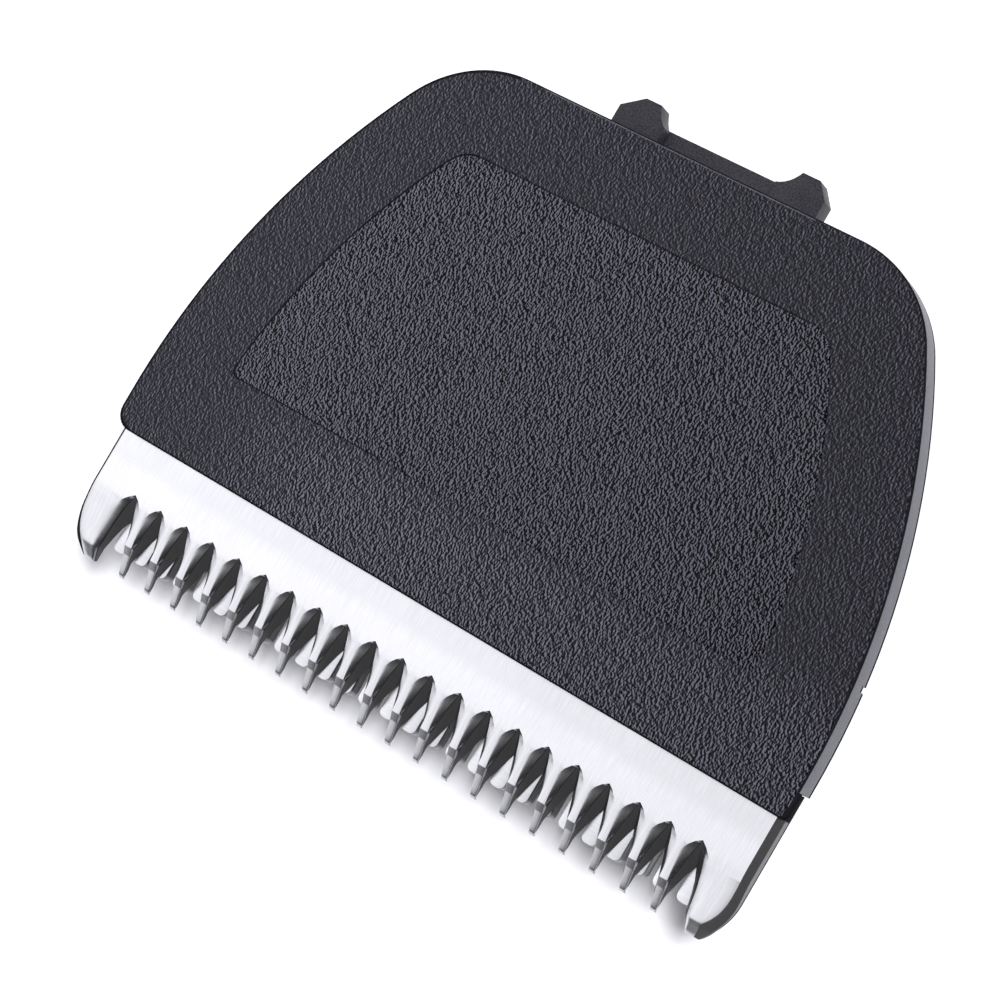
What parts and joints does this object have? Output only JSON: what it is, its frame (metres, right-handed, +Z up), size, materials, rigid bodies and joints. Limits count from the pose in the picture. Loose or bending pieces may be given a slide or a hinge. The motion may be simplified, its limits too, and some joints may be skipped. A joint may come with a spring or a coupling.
{
  "type": "detachable hair clipper cutting head",
  "caption": "Detachable hair clipper cutting head: grained lid, toothed steel comb blade, steel cutter that slides under its teeth, spring, drive bridge and carrier with rear lugs.",
  "frame": {"origin": "on the plane that the carrier's skirt stands on, below the middle of the head's bounding box", "axes": "+X along the row of teeth (the way the cutter slides), +Y from the teeth to the rear lugs, +Z up out of the lid"},
  "size_m": [0.041, 0.0336, 0.0082],
  "materials": {
    "lid_plastic": "charcoal plastic, leather-grained on top with a coarser panel, smooth at the rim",
    "frame_plastic": "black moulded plastic, fine matt",
    "blade_steel": "ground and lightly brushed stainless steel",
    "cutter_steel": "cross-ground tool steel",
    "acetal": "natural white acetal, satin",
    "spring_steel": "drawn spring wire, semi-bright",
    "screw_steel": "zinc-plated steel"
  },
  "bodies": {
    "head": {"top_cover": "lid_plastic", "carrier_frame": "frame_plastic", "fixed_blade": "blade_steel", "guide_strip": "acetal", "pressure_spring": "spring_steel", "blade_screw_left": "screw_steel", "blade_screw_right": "screw_steel", "spring_pin_left": "spring_steel", "spring_pin_right": "spring_steel", "cover_screw_front_left": "screw_steel", "cover_screw_front_right": "screw_steel", "cover_screw_rear_left": "screw_steel", "cover_screw_rear_right": "screw_steel"},
    "cutter": {"moving_blade": "cutter_steel", "drive_bridge": "acetal", "bridge_rivet_left": "screw_steel", "bridge_rivet_right": "screw_steel"}
  },
  "joints": [
    {"name": "cutter_slide", "type": "slide", "parent": "head", "child": "cutter", "axis": [1, 0, 0], "range_m": [-0.0012, 0.0008]}
  ]
}
